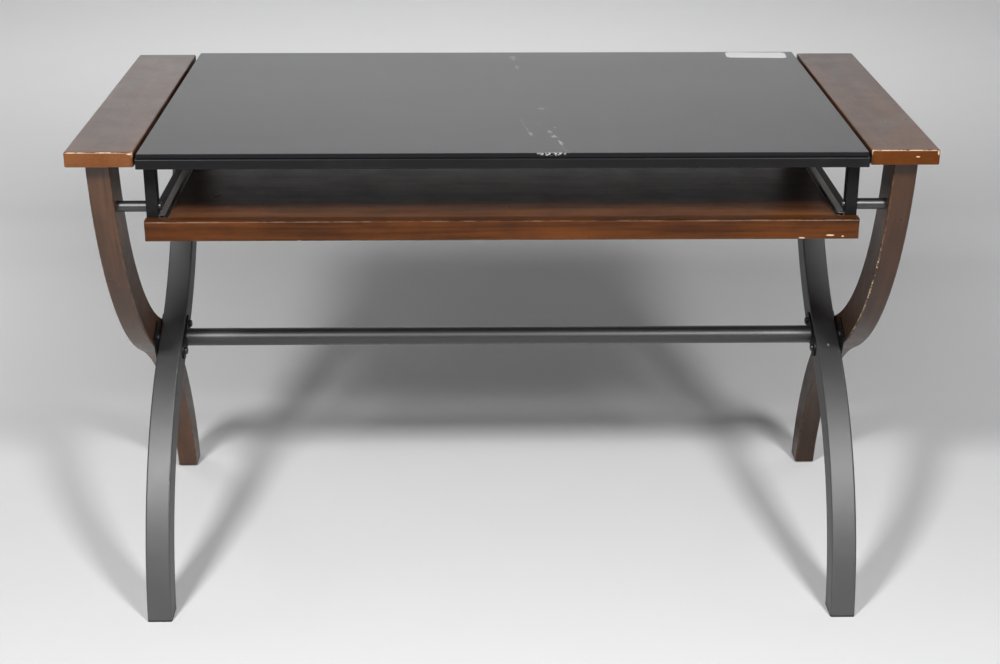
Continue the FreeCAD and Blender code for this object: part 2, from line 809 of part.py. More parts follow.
def channel(web_range, flange_range, half_height, gauge, y_range):
    """C section: an upright web and two level flanges."""
    shape = slide_part(web_range, y_range, (-half_height, half_height))
    for low, high in ((half_height - gauge, half_height), (-half_height, gauge - half_height)):
        shape = shape.fuse(slide_part(flange_range, y_range, (low, high)))
    return shape.removeSplitter()


def countersink(y, extra):
    """Conical head and shank of a screw flush with the outer member's web."""
    start = Vector(hanger_inner_x - slide_gauge, y, slide_middle)
    cone = Part.makeCone(slide_screw_head_radius + extra, slide_screw_radius + extra, slide_gauge,
                         start, RIGHT)
    length = slide_gauge + slide_screw_in_rail
    return cone.fuse(rod(start, RIGHT, slide_screw_radius + extra, length)).removeSplitter()


def slide_outer():
    y_range = (slide_front, slide_front + slide_length)
    member = channel((0, slide_gauge), (0, slide_flange), slide_height / 2, slide_gauge, y_range)
    for y in slide_screw_places:
        member = member.cut(countersink(y, fit_clearance))
    return member


inner_half_height = slide_height / 2 - slide_gauge - ball_seat_height
ball_height = slide_height / 2 - slide_gauge - ball_seat_height / 2


def slide_inner():
    y_range = (slide_inner_front, slide_inner_front + slide_inner_length)
    web = (slide_thickness - slide_gauge, slide_thickness)
    flange = (slide_thickness - slide_flange, slide_thickness)
    member = channel(web, flange, inner_half_height, slide_gauge, y_range)
    for y in slide_screw_places:
        member = member.cut(rod(Vector(tray_half_width, y, slide_middle), RIGHT,
                                slide_screw_radius + fit_clearance, slide_gauge))
    return member


def ball_places():
    pitch = cage_length / ball_count
    x = hanger_inner_x - ball_offset
    return [Vector(x, cage_front + pitch * (step + 0.5), slide_middle + side * ball_height)
            for step in range(ball_count) for side in (-1, 1)]


def ball_cage():
    y_range = (cage_front, cage_front + cage_length)
    web = (cage_web_place, cage_web_place + cage_gauge)
    cage = channel(web, (cage_web_place, cage_web_place + cage_width),
                   ball_height + cage_gauge / 2, cage_gauge, y_range)
    for place in ball_places():
        cage = cage.cut(rod(place - UP * cage_gauge, UP, ball_radius + fit_clearance,
                            2 * cage_gauge))
    return cage


def board_screw(y):
    """Screw through the inner member's web into the tray board's edge."""
    start = Vector(tray_half_width + slide_gauge, y, slide_middle)
    head = rod(start, RIGHT, slide_screw_head_radius, slide_screw_head_height)
    rim = start.x + slide_screw_head_height
    head = rounded(head, slide_screw_head_height / 2, lambda box: box.XMin > rim - 0.01)
    shank = rod(start, RIGHT * -1, slide_screw_radius, slide_gauge + slide_screw_in_board)
    return head.fuse(shank).removeSplitter()


# Tray

def tray_board():
    board = block((-tray_half_width, tray_half_width),
                  (tray_front_back, tray_front_back + tray_board_depth),
                  (tray_board_top - tray_board_thickness, tray_board_top))
    rear = tray_front_back + tray_board_depth
    board = rounded(board, tray_board_edge_radius, lambda box: box.YMin > rear - 0.01)
    for x in tray_dowel_places:
        board = board.cut(rod(Vector(x, tray_front_back, tray_dowel_height), BACK,
                              dowel_radius + fit_clearance,
                              tray_dowel_in_board + loose_clearance))
    for y in slide_screw_places:
        for side in (-1, 1):
            board = board.cut(rod(Vector(side * tray_half_width, y, slide_middle), RIGHT * -side,
                                  slide_screw_radius + fit_clearance,
                                  slide_screw_in_board + fit_clearance))
    return board


def tray_front():
    rail = block((-hanger_outer_x, hanger_outer_x),
                 (tray_front_face, tray_front_back),
                 (tray_front_top - tray_front_height, tray_front_top))
    rail = rounded(rail, tray_front_edge_radius, lambda box: box.YMax < tray_front_back - 0.01)
    for x in tray_dowel_places:
        depth = tray_dowel_in_front + loose_clearance
        rail = rail.cut(rod(Vector(x, tray_front_back - depth, tray_dowel_height), BACK,
                            dowel_radius + fit_clearance, depth))
    return rail


def tray_dowel(x):
    start = Vector(x, tray_front_back - tray_dowel_in_front, tray_dowel_height)
    return rod(start, BACK, dowel_radius, tray_dowel_in_front + tray_dowel_in_board)


def build():
    os.makedirs("parts", exist_ok=True)

    save("centre_top_panel", top_panel())
    save("top_panel_pads", *[rod(place, UP, pad_radius, pad_thickness) for place in pad_places()])
    save_pair("end_panel", end_panel())
    rail_y = (frame_half_depth - frame_rail_width, frame_half_depth)
    rear_rail = frame_rail((-frame_half_width, frame_half_width), rail_y, "x")
    save("frame_rear_rail", rear_rail)
    save("frame_front_rail", rear_rail.mirror(Vector(0, 0, 0), BACK))
    save_pair("frame_side_rail", frame_side_rail())
    save_pair("frame_cross_bar", frame_cross_rail(about(cross_bar_place, frame_rail_width)))
    join_places = join_plate_places()
    save_both_sides("joining_plates", [join_plate(y) for y in join_places])
    plate_screws = [pan_screw(screw) for y in join_places for screw in join_screws(y)]
    plate_screws += [pan_screw(screw) for screw in top_plate_screws()]
    save_both_sides("plate_screws", plate_screws)

    save_pair("metal_leg", metal_leg_piece())
    save_both_sides("metal_leg_top_plates", [metal_top_plate()])
    save_pair("metal_foot_plug", metal_foot_plug())
    save_pair("wood_leg", wood_leg_piece())
    save_both_sides("wood_foot_glides", [wood_foot_glide()])
    save_both_sides("leg_dowels", [leg_dowel(y) for y in leg_dowel_places])
    save_both_sides("cam_locks", [cam_lock()])
    save_both_sides("cam_bolts", [cam_bolt()])

    save_pair("crossing_plate", crossing_plate())
    save_both_sides("crossing_bolts", [cross_bolt(place) for place in cross_bolts])
    save_both_sides("large_weld_nuts", [large_nut(place) for place in cross_bolts])
    save_both_sides("crossing_tab_screws", [tab_screw_piece()])

    save("stretcher_tube", stretcher_tube())
    save_pair("stretcher_flange", stretcher_flange())
    nut_end = metal_inner_x + metal_leg_wall + small_nut_height + bolt_end_length
    flange_face = metal_inner_x - flange_thickness
    save_both_sides("stretcher_bolts",
                    [small_bolt(place, flange_face, nut_end) for place in flange_bolts])
    rear_place = Vector(0, rear_hanger_y, tie_height)
    save_both_sides("small_weld_nuts", [small_nut(place) for place in flange_bolts + [rear_place]])

    save_pair("front_hanger", front_hanger())
    save_pair("rear_hanger", hanger(rear_hanger_y, [rear_place]))
    save_pair("tray_rail", tray_rail())
    save_both_sides("hanger_plugs", [hanger_plug(y) for y in (front_hanger_y, rear_hanger_y)])
    save_both_sides("tie_tubes", [tie_tube()])
    save_both_sides("tie_inserts", [leg_insert()])
    front_place = Vector(0, front_hanger_y, tie_height)
    save_both_sides("tie_bolts",
                    [small_bolt(front_place, hanger_inner_x, wood_inner_x + tie_bolt_in_leg)])
    save_both_sides("rear_hanger_spacers", [rear_spacer()])
    save_both_sides("rear_hanger_bolts", [small_bolt(rear_place, hanger_inner_x, nut_end)])
    save_both_sides("tray_bumpers", [bumper()])

    save_pair("slide_outer_member", slide_outer())
    save_both_sides("slide_rail_screws", [countersink(y, 0) for y in slide_screw_places])
    save_pair("slide_ball_cage", ball_cage())
    balls = Part.makeCompound([Part.makeSphere(ball_radius, place) for place in ball_places()])
    save_pair("slide_balls", balls)
    save_pair("slide_inner_member", slide_inner())
    save_both_sides("slide_board_screws", [board_screw(y) for y in slide_screw_places])

    save("tray_board", tray_board())
    save("tray_front_rail", tray_front())
    save("tray_dowels", *[tray_dowel(x) for x in tray_dowel_places])


build()
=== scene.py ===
"""Looks for a computer desk with a keyboard tray.

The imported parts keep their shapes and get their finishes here.  A blank label and the weld beads
are made here.  Everything is in metres: X to the right, Y to the back, Z up, floor at zero.
"""

import json
import math

import bmesh
import bpy
import numpy as np
from mathutils import Matrix, Vector


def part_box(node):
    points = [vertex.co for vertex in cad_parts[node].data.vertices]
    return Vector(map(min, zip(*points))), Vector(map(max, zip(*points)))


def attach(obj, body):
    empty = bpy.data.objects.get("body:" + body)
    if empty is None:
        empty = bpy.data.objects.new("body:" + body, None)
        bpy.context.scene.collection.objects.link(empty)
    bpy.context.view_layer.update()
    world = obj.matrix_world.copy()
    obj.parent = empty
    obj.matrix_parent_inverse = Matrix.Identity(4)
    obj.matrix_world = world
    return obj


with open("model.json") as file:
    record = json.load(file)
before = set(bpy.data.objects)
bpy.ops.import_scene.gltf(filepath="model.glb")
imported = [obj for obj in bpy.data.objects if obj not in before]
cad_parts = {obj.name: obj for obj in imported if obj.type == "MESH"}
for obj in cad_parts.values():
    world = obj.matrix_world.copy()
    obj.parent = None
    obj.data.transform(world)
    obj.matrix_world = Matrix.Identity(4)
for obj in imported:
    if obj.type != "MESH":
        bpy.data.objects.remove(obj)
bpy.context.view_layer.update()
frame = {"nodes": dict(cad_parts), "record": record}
nodes = frame["nodes"]

# Camera
LENS = 63.2
PITCH = math.radians(21.63)
YAW = math.radians(0.96)
ROLL = math.radians(0.08)
CAMERA_PLACE = Vector((-0.0440, -2.6612, 1.4264))

# Colours, as linear red, green, blue and opacity
PANEL_TOP = ((0.045, 0.0150, 0.0045, 1), (0.120, 0.0420, 0.0130, 1))
LEFT_END_STAIN = ((0.122, 0.0395, 0.0088, 1), (0.176, 0.0630, 0.0200, 1))
# The right end's front is the left's stain darkened as painted shade, for the weaker light on the
# right.
RIGHT_END_STAIN_AND_PAINTED_SHADE = ((0.070, 0.0180, 0.0015, 1), (0.104, 0.0285, 0.0029, 1))
TRAY_STAIN = ((0.033, 0.0092, 0.0012, 1), (0.104, 0.0294, 0.0040, 1))
BOARD_STAIN = ((0.054, 0.0203, 0.0081, 1), (0.149, 0.0567, 0.0203, 1))
LEFT_LEG_STAIN = ((0.034, 0.0135, 0.0050, 1), (0.090, 0.0370, 0.0140, 1))
# The right wooden leg is the left's stain darkened as painted shade, for the weaker light on the
# right.
RIGHT_LEG_STAIN_AND_PAINTED_SHADE = ((0.0195, 0.0075, 0.0027, 1), (0.0525, 0.0203, 0.0071, 1))
# Lighter colour on rounded wooden edges: partly rubbed wear, partly painted highlight.
RUBBED_WOOD_AND_HIGHLIGHT = (0.190, 0.1120, 0.0680, 1)
BARE_WOOD = (0.540, 0.390, 0.250, 1)
PORE = (0.016, 0.0065, 0.0035, 1)
SLAB_BLACK = (0.009, 0.009, 0.010, 1)
SLAB_MARK = (0.450, 0.450, 0.440, 1)
COAT_BLACK = (0.0075, 0.0075, 0.0082, 1)
COAT_GREY = (0.015, 0.015, 0.016, 1)
TUBE_BLACK = (0.008, 0.008, 0.009, 1)
TUBE_GREY = (0.016, 0.016, 0.018, 1)
LEG_BLACK = (0.015, 0.015, 0.0172, 1)
LEG_GREY = (0.028, 0.028, 0.031, 1)
BARE_STEEL = (0.450, 0.450, 0.440, 1)
BOLT_BLACK = (0.030, 0.030, 0.032, 1)
BOLT_RUBBED = (0.160, 0.160, 0.165, 1)
ZINC_DULL = (0.420, 0.420, 0.410, 1)
ZINC_BRIGHT = (0.680, 0.680, 0.660, 1)
BALL_GREASED = (0.620, 0.620, 0.630, 1)
BALL_BRIGHT = (0.800, 0.800, 0.790, 1)
BEECH_DARK = (0.500, 0.340, 0.200, 1)
BEECH_PALE = (0.680, 0.520, 0.350, 1)
PLASTIC_BLACK = (0.012, 0.012, 0.012, 1)
PLASTIC_DUSTY = (0.030, 0.030, 0.030, 1)
RUBBER_BLACK = (0.010, 0.010, 0.010, 1)
RUBBER_DUSTY = (0.020, 0.020, 0.020, 1)
PLASTIC_WHITE = (0.700, 0.700, 0.670, 1)
PLASTIC_PALE = (0.800, 0.800, 0.780, 1)
LABEL_WHITE = (0.970, 0.970, 0.970, 1)
LABEL_YELLOWED = (0.900, 0.900, 0.890, 1)
STUDIO_GREY = (0.780, 0.780, 0.785, 1)
STUDIO_PALE = (0.800, 0.800, 0.805, 1)

# Faces that the marks lie on, from the frame
SLAB_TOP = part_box("centre_top_panel")[1].z
PANEL_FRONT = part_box("right_end_panel")[0].y
TRAY_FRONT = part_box("tray_front_rail")[0].y

# The wooden legs' curve from the side, as Y and Z: its bend and the slope there, its foot and top
WOOD_LOW, WOOD_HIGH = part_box("right_wood_leg")
WOOD_BEND = (0.018, 0.363)
WOOD_LEAN = math.radians(-63.5)
WOOD_FOOT = (0.292, WOOD_LOW.z)
WOOD_TOP = (-0.245, WOOD_HIGH.z)

# Scratches on the slab: start, end, width and strength
SLAB_SCRATCHES = (
    ((0.026, 0.285), (0.034, 0.150), 0.0030, 0.45),
    ((0.048, -0.066), (0.072, -0.074), 0.0020, 0.50),
    ((0.028, -0.135), (0.038, -0.200), 0.0022, 0.72),
    ((0.038, -0.205), (0.046, -0.250), 0.0018, 0.50),
    ((0.062, -0.175), (0.078, -0.240), 0.0022, 0.50),
    ((0.079, -0.250), (0.087, -0.305), 0.0026, 0.70),
)
# Scuffed spots on the slab: middle, reach along X and Y, and strength
SLAB_SPOTS = (
    (0.026, 0.276, 0.016, 0.032, 1.0),
    (0.033, 0.205, 0.009, 0.022, 0.8),
    (0.038, 0.050, 0.005, 0.012, 0.7),
    (0.061, -0.071, 0.010, 0.013, 1.0),
    (0.054, -0.160, 0.010, 0.020, 0.6),
    (0.041, -0.214, 0.007, 0.016, 1.0),
    (0.068, -0.204, 0.008, 0.013, 1.0),
    (0.072, -0.231, 0.008, 0.014, 1.0),
    (0.077, -0.182, 0.007, 0.011, 0.9),
    (0.084, -0.262, 0.008, 0.018, 0.8),
)
# Chips and knocks: middle, then reach along X, Y and Z
SLAB_EDGE_CHIP = (0.067, -0.316, SLAB_TOP, 0.024, 0.0045, 0.004)
TRAY_CHIPS = (
    (0.429, TRAY_FRONT, 0.6233, 0.0050, 0.004, 0.0015),
    (0.470, TRAY_FRONT, 0.6273, 0.0056, 0.004, 0.0014),
    (0.488, TRAY_FRONT, 0.6256, 0.0022, 0.004, 0.0011),
    (-0.291, TRAY_FRONT, 0.6218, 0.0022, 0.004, 0.0010),
)
PANEL_CHIPS = (
    (0.5785, PANEL_FRONT, 0.7518, 0.0030, 0.0030, 0.0011),
    (0.607, PANEL_FRONT + 0.0015, 0.7575, 0.0018, 0.0030, 0.0040),
    (-0.518, PANEL_FRONT + 0.0015, 0.7590, 0.0045, 0.0030, 0.0016),
)
RIGHT_LEG_WEAR = (
    (0.5545, -0.261, 0.538, 0.0022, 0.010, 0.016),
    (0.5545, -0.231, 0.471, 0.0022, 0.016, 0.020),
    (0.5545, -0.171, 0.439, 0.0024, 0.030, 0.012),
)
LEG_MARKS = (
    (0.532, -0.029, 0.357, 0.0030, 0.0070, 0.0035),
    (0.545, -0.061, 0.332, 0.0025, 0.0060, 0.0050),
)

# Blank label
LABEL_MIDDLE = (0.4410, 0.2900)
LABEL_HALF_X = 0.0510
LABEL_HALF_Y = 0.0200
LABEL_CORNER = 0.009
LABEL_TURN = math.radians(-3)
LABEL_THICKNESS = 0.00016
LABEL_CORNER_LIFT = 0.003
LABEL_CLEARANCE = 0.00002

# Weld beads: radius and number of ripples, and the rounding of the hangers' corners
STRETCHER_BEAD = (0.0013, 34)
HANGER_BEAD = (0.0014, 30)
HANGER_CORNER = 0.002

# Lamps: place, the point each faces, width, height, power in watts and spread in degrees
LAMPS = {
    "front_left": ((-1.08, -2.10, 2.24), (0, 0, 0.4), 0.40, 0.45, 66, 180),
    "front_right": ((1.02, -2.10, 2.10), (0, 0, 0.4), 0.40, 0.45, 55, 180),
    "left_wash": ((-2.35, 1.1, 2.1), (-2.1, 1.1, 0), 1.0, 1.6, 9, 80),
    "right_wash": ((2.35, 1.1, 2.1), (2.1, 1.1, 0), 1.0, 1.6, 5, 80),
    "rear_wall_wash": ((-0.3, 2.2, 2.6), (-0.3, 6.4, 2.0), 4.5, 1.0, 126, 180),
    "front_wall_wash": ((0.0, -3.0, 2.7), (0.0, -7.0, 1.5), 4.5, 1.0, 20, 180),
    "left_wall_wash": ((-5.5, 0, 2.7), (-9.5, 0, 1.5), 1.0, 3.5, 6, 180),
    "right_wall_wash": ((5.5, 0, 2.7), (9.5, 0, 1.5), 1.0, 3.5, 6, 180),
}
ROOM_LIGHT = 0.02


# Shader maths

class Value:
    """Something that varies over a surface; an operator on it adds one Math node."""

    def __init__(self, finish, socket):
        self.finish = finish
        self.socket = socket

    def math(self, operation, *inputs):
        return self.finish.node("ShaderNodeMath", {"operation": operation},
                                dict(enumerate(inputs)))

    def __add__(self, other):
        return self.math("ADD", self, other)

    def __sub__(self, other):
        return self.math("SUBTRACT", self, other)

    def __rsub__(self, other):
        return self.math("SUBTRACT", other, self)

    def __mul__(self, other):
        return self.math("MULTIPLY", self, other)

    def __truediv__(self, other):
        return self.math("DIVIDE", self, other)

    __radd__ = __add__
    __rmul__ = __mul__

    def __abs__(self):
        return self.math("ABSOLUTE", self)

    def lower(self, other):
        return self.math("MINIMUM", self, other)

    def higher(self, other):
        return self.math("MAXIMUM", self, other)

    def root(self):
        return self.math("SQRT", self)

    def ramp(self, start, end):
        """0 at start, 1 at end, eased between; start may be above end."""
        return self.finish.node("ShaderNodeMapRange", {"interpolation_type": "SMOOTHSTEP"},
                                {"Value": self, "From Min": start, "From Max": end})


class Finish:
    """A material being made."""

    def __init__(self, name):
        self.material = bpy.data.materials.new(name)
        self.material.use_nodes = True
        self.tree = self.material.node_tree
        self.tree.nodes.clear()
        self.place = self.node("ShaderNodeTexCoord", {}, {}, "Object")
        self.x, self.y, self.z = self.parts_of(self.place)
        facing = self.node("ShaderNodeNewGeometry", {}, {}, "Normal")
        self.facing_x, self.facing_y, self.facing_z = self.parts_of(facing)

    def node(self, kind, settings, inputs, output=0):
        """Adds a node: its settings first, then the values or links of its sockets."""
        node = self.tree.nodes.new(kind)
        for name, value in settings.items():
            setattr(node, name, value)
        for name, value in inputs.items():
            if isinstance(value, Value):
                self.tree.links.new(value.socket, node.inputs[name])
            else:
                node.inputs[name].default_value = value
        return None if output is None else Value(self, node.outputs[output])

    def parts_of(self, vector):
        return [self.node("ShaderNodeSeparateXYZ", {}, {0: vector}, axis) for axis in range(3)]

    def vector(self, x, y, z):
        return self.node("ShaderNodeCombineXYZ", {}, {0: x, 1: y, 2: z})

    def noise(self, place, scale, detail=3.0, roughness=0.55):
        return self.node("ShaderNodeTexNoise", {},
                         {"Vector": place, "Scale": scale, "Detail": detail,
                          "Roughness": roughness})

    def mix(self, share, first, second):
        """Colour that goes from first to second as share goes from 0 to 1."""
        return self.node("ShaderNodeMix", {"data_type": "RGBA"},
                         {0: share, 6: first, 7: second}, 2)

    def bump(self, height, distance, strength=1.0):
        return self.node("ShaderNodeBump", {},
                         {"Strength": strength, "Distance": distance, "Height": height})

    def near(self, x, y, z, reach_x, reach_y, reach_z):
        """1 in the middle of an ellipsoid, 0 outside it, with its edge broken up."""
        away = ((self.x - x) / reach_x, (self.y - y) / reach_y, (self.z - z) / reach_z)
        distance = (away[0] * away[0] + away[1] * away[1] + away[2] * away[2]).root()
        ragged = self.noise(self.place, 420.0, 2.0)
        return (distance + ragged * 0.9 - 0.45).ramp(1.0, 0.75)

    def scuff(self, x, y, reach_x, reach_y):
        """1 in the middle of an ellipse on the top, falling off slowly to 0 at its edge."""
        away = ((self.x - x) / reach_x, (self.y - y) / reach_y)
        return (away[0] * away[0] + away[1] * away[1]).root().ramp(1.0, 0.0)

    def along_line(self, start, end, width):
        """1 on a thin straight line across the top from start to end, 0 beyond width."""
        run_x, run_y = end[0] - start[0], end[1] - start[1]
        length = math.hypot(run_x, run_y)
        run_x, run_y = run_x / length, run_y / length
        from_x, from_y = self.x - start[0], self.y - start[1]
        along = from_x * run_x + from_y * run_y
        aside = abs(from_x * run_y - from_y * run_x)
        past = (abs(along - length / 2) - length / 2).higher(0.0)
        return (aside + past).ramp(width, width * 0.3)

    def end(self, **inputs):
        """Ends the material with one surface shader."""
        names = {"colour": "Base Color", "roughness": "Roughness", "metal": "Metallic",
                 "normal": "Normal", "coat": "Coat Weight", "coat_roughness": "Coat Roughness",
                 "specular": "Specular IOR Level", "ior": "IOR"}
        shader = self.node("ShaderNodeBsdfPrincipled", {},
                           {names[name]: value for name, value in inputs.items()})
        self.node("ShaderNodeOutputMaterial", {}, {"Surface": shader}, None)
        return self.material


# Finishes

def arc_centre(bend, lean, end):
    """Centre and radius, in the side view, of the arc that leaves a bend at a lean and meets end.

    The centre lies square to the leaving direction, at half the chord's square divided by how far
    the end stands aside of that direction.
    """
    along = np.array([math.sin(lean), math.cos(lean)])
    square = np.array([-along[1], along[0]])
    chord = np.array(end) - np.array(bend)
    radius = chord.dot(chord) / (2 * chord.dot(square))
    return np.array(bend) + square * radius, radius


def off_the_curve(finish, bend, lean, foot, top):
    """How far a place lies off a curved leg's middle, which is one arc from the bend down to the
    foot and another from the bend up to the top."""
    offsets = []
    for end in (foot, top):
        (centre_y, centre_z), radius = arc_centre(bend, lean, end)
        from_y, from_z = finish.y - centre_y, finish.z - centre_z
        offset = (from_y * from_y + from_z * from_z).root() - abs(radius)
        offsets.append(offset * math.copysign(1, radius))
    upper = (finish.z - bend[1]).ramp(-0.01, 0.01)
    return offsets[1] * upper + offsets[0] * (1 - upper)


def walnut(name, grain, stain, front=(), gloss=0.3, polish=0.0, chips=()):
    """Dark walnut stain under satin lacquer, rubbed lighter on its edges, with painted highlight.

    grain gives the distances across, through and along the grain, where the edges are rubbed
    lighter and carry a painted highlight, and where they are worn to bare wood.  stain and front
    are the dark and light colours of the wood and of its sawn front end; for the right leg and
    the right end's front they are darkened as painted shade.  gloss is the lacquer's shine,
    polish is how far the top face has been rubbed to more of it, and chips are the places and
    sizes of single knocks.
    """
    finish = Finish(name)
    across, through, along, rubbed, bare = grain(finish)
    figure = finish.noise(finish.vector(across * 30.0, through * 30.0, along * 2.2), 1.0, 4.0)
    streaks = finish.noise(finish.vector(across * 260.0, through * 260.0, along * 7.0), 1.0, 3.0)
    pores = finish.noise(finish.vector(across * 1300.0, through * 1300.0, along * 30.0), 1.0, 2.0)
    blotch = finish.noise(finish.vector(across * 26.0, through * 26.0, along * 11.0), 1.0,
                          4.0, 0.65)
    tone = (figure * 0.45 + streaks * 0.35 + blotch * 0.4).ramp(0.42, 0.78)
    colour = finish.mix(tone, *stain)
    if front:
        light = finish.mix(tone, *front)
        colour = finish.mix((finish.y - PANEL_FRONT).ramp(0.0032, 0.0004), colour, light)
    pore = pores.ramp(0.60, 0.76)
    colour = finish.mix(pore * 0.45, colour, PORE)
    patchy = finish.noise(finish.place, 45.0, 4.0, 0.7)
    # Rounded edges lightened in patches: partly rubbed wear, partly painted highlight where they
    # catch the light.
    soft = rubbed * patchy.ramp(0.42, 0.62)
    colour = finish.mix(soft * 0.55, colour, RUBBED_WOOD_AND_HIGHLIGHT)
    wear = bare * patchy.ramp(0.44, 0.56)
    for chip in chips:
        wear = wear.higher(finish.near(*chip))
    colour = finish.mix(wear, colour, BARE_WOOD)
    smudges = finish.noise(finish.place, 17.0, 4.0, 0.65)
    roughness = smudges * 0.34 + 0.17 + wear * 0.3 + pore * 0.1
    height = 1.0 - pore * 0.4 - wear * 0.6 + streaks * 0.12
    shine = {"coat": finish.facing_z.ramp(0.5, 0.9) * polish, "coat_roughness": 0.3}
    return finish.end(colour=colour, roughness=roughness, specular=gloss,
                      normal=finish.bump(height, 0.0002), **(shine if polish else {}))


def rounded_edges(finish):
    """1 on a board's rounded edges, which face none of the three axes squarely, 0 on its faces."""
    side, front, level = [abs(facing) for facing in
                          (finish.facing_x, finish.facing_y, finish.facing_z)]
    return (1 - side.higher(front).higher(level)).ramp(0.06, 0.2)


def panel_grain(finish):
    """Grain of the end panels, along Y.  The edges round their front face are worn to bare wood,
    most of all the upper ones."""
    edge = rounded_edges(finish)
    at_front = (finish.y - PANEL_FRONT).ramp(0.0040, 0.0020)
    upper = (finish.z - SLAB_TOP).ramp(-0.0085, -0.0045)
    # Every rounded edge is lightened by half, as rubbing and as painted highlight.
    return finish.x, finish.z, finish.y, edge * 0.5, edge * at_front * (upper * 0.85 + 0.15)


def tray_grain(finish):
    """Grain of the tray's board and front, along X; painted highlight on its edges, none worn
    bare.
    """
    return finish.y, finish.z, finish.x, rounded_edges(finish), 0.0


def curved_leg_grain(finish):
    """Grain that follows the wooden leg's curve and runs up its height.

    Its rounded edges face between side and front; they are lightened, as rubbing and as painted
    highlight.  The right leg's inner edge is worn to bare wood in specks, from its middle up.
    """
    across = off_the_curve(finish, WOOD_BEND, WOOD_LEAN, WOOD_FOOT, WOOD_TOP)
    side = abs(finish.facing_x)
    edge = side.ramp(0.18, 0.45) * side.ramp(0.97, 0.85)
    inner = edge * finish.facing_x.ramp(0.0, -0.1) * finish.x.ramp(0.0, 0.01)
    worn = finish.z.ramp(0.38, 0.42) * finish.z.ramp(0.64, 0.56)
    specks = finish.noise(finish.place, 330.0, 3.0, 0.7).ramp(0.47, 0.55)
    return across, finish.x, finish.z, edge * 0.6, inner * worn * specks


def slab_glass():
    """Black satin slab: faint smears, a run of speckled scratches and scuffs from back to front,
    and a chipped stretch of its front edge.  The top is polished, less so where it is marked."""
    finish = Finish("black_slab")
    smears = finish.noise(finish.vector(finish.x * 3.0, finish.y * 7.0, finish.z), 1.0, 4.0)
    grain = finish.noise(finish.place, 900.0, 2.0)
    scuffed = 0.0
    for start, end, width, strength in SLAB_SCRATCHES:
        scuffed = finish.along_line(start, end, width) * strength + scuffed
    for x, y, reach_x, reach_y, strength in SLAB_SPOTS:
        scuffed = finish.scuff(x, y, reach_x, reach_y) * strength + scuffed
    specks = finish.noise(finish.place, 430.0, 4.0, 0.75)
    marks = (scuffed.lower(1.0) * 0.34 + specks).ramp(0.71, 0.86) * 0.8
    ragged = finish.noise(finish.place, 260.0, 3.0).ramp(0.45, 0.55)
    marks = marks.higher(finish.near(*SLAB_EDGE_CHIP) * ragged * 0.75)
    colour = finish.mix(marks, SLAB_BLACK, SLAB_MARK)
    roughness = smears * 0.10 + 0.30 + marks * 0.3
    height = 1.0 - marks * 0.7 + grain * 0.12
    polish = finish.facing_z.ramp(0.6, 0.95) * (1 - marks * 0.6)
    return finish.end(colour=colour, roughness=roughness, normal=finish.bump(height, 0.00008),
                      specular=0.1, coat=polish, coat_roughness=0.3)


def powder_coat(name, dark, light, texture, rough, gloss, ior=1.5, marks=()):
    """Black powder coat: fine orange peel and dusty high spots, with single marks down to steel.

    dark and light are its colours, texture scales the peel, rough is its roughness, and gloss
    and ior set its shine.
    """
    finish = Finish(name)
    peel = finish.noise(finish.place, 900.0, 2.0)
    grit = finish.noise(finish.place, 2600.0, 1.0)
    dust = finish.noise(finish.place, 14.0, 4.0, 0.65)
    colour = finish.mix(dust.ramp(0.45, 0.75) * 0.6 + grit.ramp(0.5, 0.7) * 0.25, dark, light)
    for mark in marks:
        colour = finish.mix(finish.near(*mark) * 0.6, colour, BARE_STEEL)
    roughness = dust * 0.12 + (rough - 0.08) + grit * 0.06
    height = peel * 0.7 + grit * 0.3
    return finish.end(colour=colour, roughness=roughness, specular=gloss, ior=ior,
                      normal=finish.bump(height, 0.00012 * texture, 0.8))


def black_oxide():
    """Bolt heads: smooth black, rubbed brighter in places."""
    finish = Finish("black_bolts")
    rub = finish.noise(finish.place, 240.0, 3.0).ramp(0.5, 0.75)
    colour = finish.mix(rub * 0.35, BOLT_BLACK, BOLT_RUBBED)
    return finish.end(colour=colour, roughness=rub * 0.1 + 0.3, metal=0.4,
                      normal=finish.bump(rub, 0.00004))


def zinc_plate():
    """Bright zinc: long rolling marks and a faint bloom."""
    finish = Finish("bright_zinc")
    rolled = finish.noise(finish.vector(finish.x * 900.0, finish.y * 6.0, finish.z * 900.0), 1.0)
    bloom = finish.noise(finish.place, 30.0, 4.0)
    colour = finish.mix(bloom, ZINC_DULL, ZINC_BRIGHT)
    return finish.end(colour=colour, roughness=rolled * 0.16 + 0.24, metal=1.0,
                      normal=finish.bump(rolled, 0.00003))


def bearing_steel():
    """Polished balls with a thin film of grease."""
    finish = Finish("bearing_steel")
    film = finish.noise(finish.place, 700.0, 2.0)
    colour = finish.mix(film, BALL_GREASED, BALL_BRIGHT)
    return finish.end(colour=colour, roughness=film * 0.1 + 0.08, metal=1.0)


def moulded(name, dark, light, rough):
    """Moulded plastic or rubber: a fine even grain."""
    finish = Finish(name)
    grain = finish.noise(finish.place, 1400.0, 2.0)
    dust = finish.noise(finish.place, 40.0, 3.0)
    colour = finish.mix(dust.ramp(0.4, 0.7), dark, light)
    return finish.end(colour=colour, roughness=dust * 0.1 + rough,
                      normal=finish.bump(grain, 0.00006))


def beech():
    """Plain dowels: straight pale grain."""
    finish = Finish("plain_beech")
    grain = finish.noise(finish.vector(finish.x * 300.0, finish.y * 300.0, finish.z * 40.0), 1.0)
    colour = finish.mix(grain, BEECH_DARK, BEECH_PALE)
    return finish.end(colour=colour, roughness=grain * 0.1 + 0.6,
                      normal=finish.bump(grain, 0.0001))


